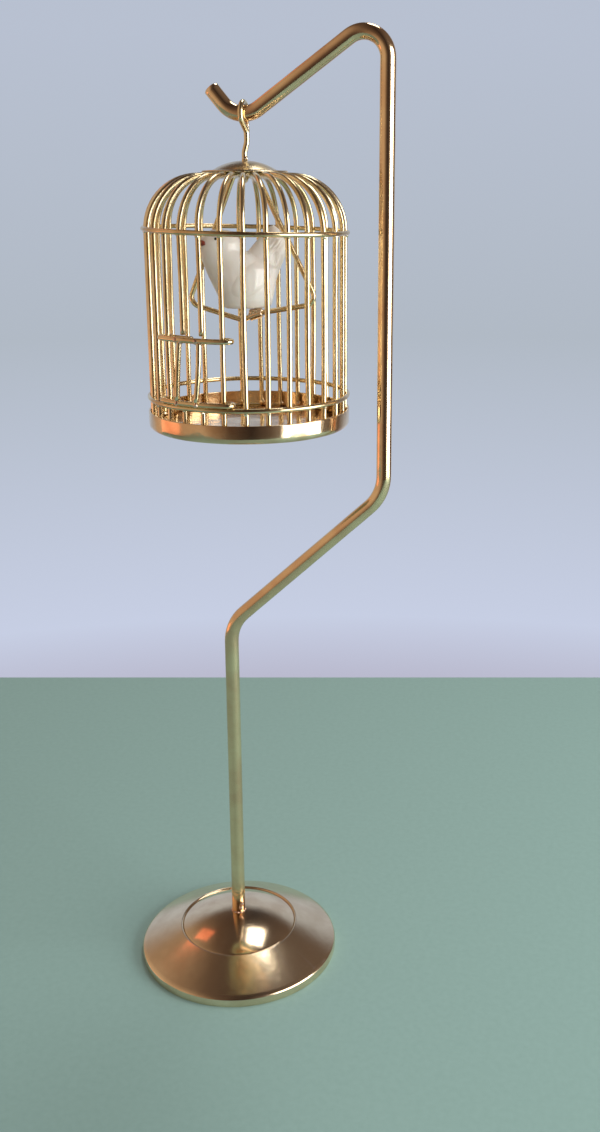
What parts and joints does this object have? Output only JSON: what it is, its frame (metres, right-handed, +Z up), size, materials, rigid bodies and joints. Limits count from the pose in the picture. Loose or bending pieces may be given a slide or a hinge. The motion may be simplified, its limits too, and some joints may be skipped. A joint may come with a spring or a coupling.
{
  "type": "bird cage on stand",
  "caption": "Dolls' house wire bird cage that hangs from a bent-rod stand on a round base, with a sliding door, a swing and a bird.",
  "frame": {"origin": "centre of the flat underside of the base, where it stands on a surface", "axes": "+Z up; +X in the plane of the bent rod, from the foot of the rod towards the raised pole; +Y away from the doorway side"},
  "size_m": [0.0439, 0.0344, 0.1544],
  "materials": {
    "base_gold": "satin, slightly worn gold plate",
    "rod_gold": "polished gold plate",
    "wire_gold": "polished drawn wire, gold plate",
    "cap_gold": "satin pressed sheet, gold plate",
    "tray_gold": "polished pressed sheet, gold plate",
    "bird_glaze": "pearly white glaze"
  },
  "bodies": {
    "stand": {"base_plate": "base_gold", "base_boss": "base_gold", "pole": "rod_gold"},
    "hanger": {"hanger": "wire_gold"},
    "cage": {"crown_cap": "cap_gold", "tray": "tray_gold", "shoulder_ring": "wire_gold", "lower_ring": "wire_gold", "doorway_stub_left": "wire_gold", "doorway_stub_right": "wire_gold", "cage_bar_01": "wire_gold", "cage_bar_02": "wire_gold", "cage_bar_03": "wire_gold", "cage_bar_04": "wire_gold", "cage_bar_05": "wire_gold", "cage_bar_06": "wire_gold", "cage_bar_07": "wire_gold", "cage_bar_08": "wire_gold", "cage_bar_09": "wire_gold", "cage_bar_10": "wire_gold", "cage_bar_11": "wire_gold", "cage_bar_12": "wire_gold", "cage_bar_13": "wire_gold", "cage_bar_14": "wire_gold", "cage_bar_15": "wire_gold", "cage_bar_16": "wire_gold", "cage_bar_17": "wire_gold", "cage_bar_18": "wire_gold", "cage_bar_19": "wire_gold", "cage_bar_20": "wire_gold", "cage_bar_21": "wire_gold", "cage_bar_22": "wire_gold", "cage_bar_23": "wire_gold", "cage_bar_24": "wire_gold", "cage_bar_25": "wire_gold", "cage_bar_26": "wire_gold", "cage_bar_27": "wire_gold", "cage_bar_28": "wire_gold", "cage_bar_29": "wire_gold"},
    "door": {"door_top_rail": "wire_gold", "door_bottom_rail": "wire_gold", "door_bar_left": "wire_gold", "door_bar_right": "wire_gold"},
    "swing": {"swing": "wire_gold", "perch_clip": "wire_gold", "bird": "bird_glaze"}
  },
  "joints": [
    {"name": "cage_swing", "type": "hinge", "parent": "stand", "child": "hanger", "pos_m": [0.00395, 0, 0.14235], "axis": [1, 0, 0], "range_deg": [-40, 40]},
    {"name": "cage_swivel", "type": "hinge", "parent": "hanger", "child": "cage", "pos_m": [0.00395, 0, 0.1356], "axis": [0, 0, 1], "continuous": true},
    {"name": "door_slide", "type": "slide", "parent": "cage", "child": "door", "axis": [0, 0, 1], "range_m": [0, 0.0135]},
    {"name": "perch_swing", "type": "hinge", "parent": "hanger", "child": "swing", "pos_m": [0.00395, 0, 0.13375], "axis": [1, 0, 0], "range_deg": [-20, 20]}
  ]
}
